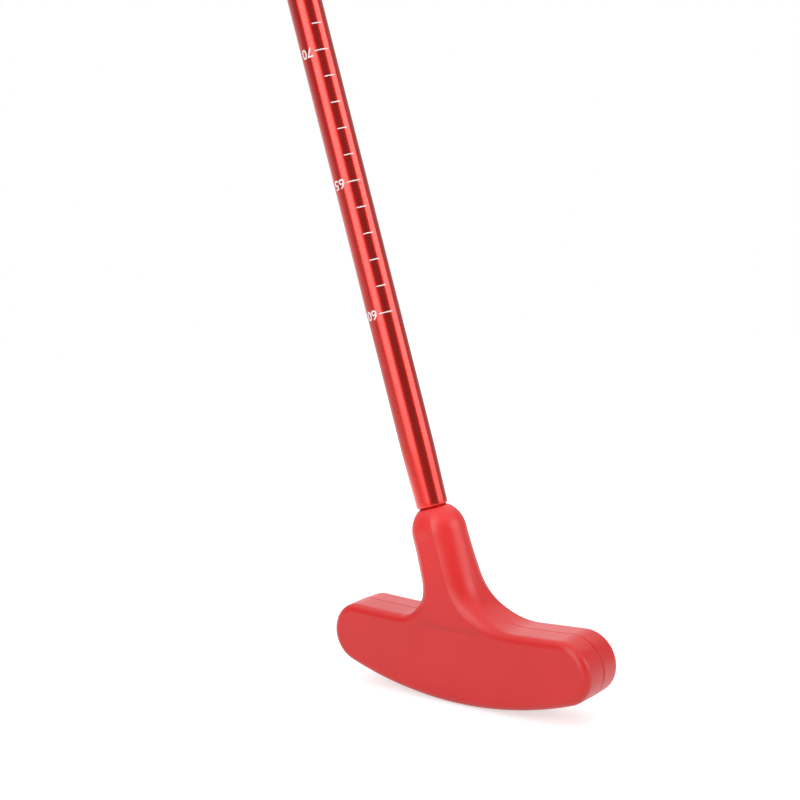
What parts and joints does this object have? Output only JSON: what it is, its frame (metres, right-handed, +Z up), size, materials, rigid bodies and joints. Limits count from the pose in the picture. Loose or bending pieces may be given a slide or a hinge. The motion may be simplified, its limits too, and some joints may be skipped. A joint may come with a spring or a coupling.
{
  "type": "golf putter",
  "caption": "Two-way putter with a flat-faced rubber head, a telescopic shaft with a length scale, a cam lever clamp and a round grip.",
  "frame": {"origin": "middle of the hand hold, on the shaft's axis, 110 mm below the butt", "axes": "+X from heel to toe, +Z up, -Y out of the front striking face, with the shaft leaning 14.2 degrees towards -X as at address"},
  "size_m": [0.2869, 0.0297, 0.8752],
  "materials": {
    "red_rubber": "satin, moulded",
    "red_anodised": "anodised over a drawn grain",
    "bare_aluminium": "as drawn",
    "zinc_steel": "zinc plated",
    "black_nylon": "fine moulded texture",
    "grey_acetal": "smooth",
    "grip_rubber": "matt, with moulded grooves",
    "tape_paper": "paper backed"
  },
  "bodies": {
    "handle": {"upper_tube": "red_anodised", "lock_collar": "black_nylon", "mouth_ring": "grey_acetal", "lever_pin": "zinc_steel", "cam_plate": "zinc_steel", "screw_washer": "zinc_steel", "grip_ring": "black_nylon", "grip_tape": "tape_paper", "grip_sleeve": "grip_rubber", "butt_cap": "black_nylon"},
    "lower_section": {"rubber_head": "red_rubber", "weight_bar": "zinc_steel", "hosel_rod": "zinc_steel", "core_pin": "zinc_steel", "lower_tube": "red_anodised", "guide_bush": "grey_acetal", "bush_rivet": "bare_aluminium"},
    "lever": {"lock_lever": "black_nylon"},
    "knob": {"knob_screw": "zinc_steel", "tension_knob": "black_nylon"}
  },
  "joints": [
    {"name": "length_slide", "type": "slide", "parent": "handle", "child": "lower_section", "axis": [-0.2453, 0, 0.9694], "range_m": [0, 0.3]},
    {"name": "lever_hinge", "type": "hinge", "parent": "handle", "child": "lever", "pos_m": [0.06647, -0.0125, -0.32059], "axis": [0.2453, 0, -0.9694], "range_deg": [0, 140]},
    {"name": "knob_turn", "type": "hinge", "parent": "handle", "child": "knob", "pos_m": [0.06647, 0, -0.32059], "axis": [0, 1, 0], "continuous": true}
  ]
}
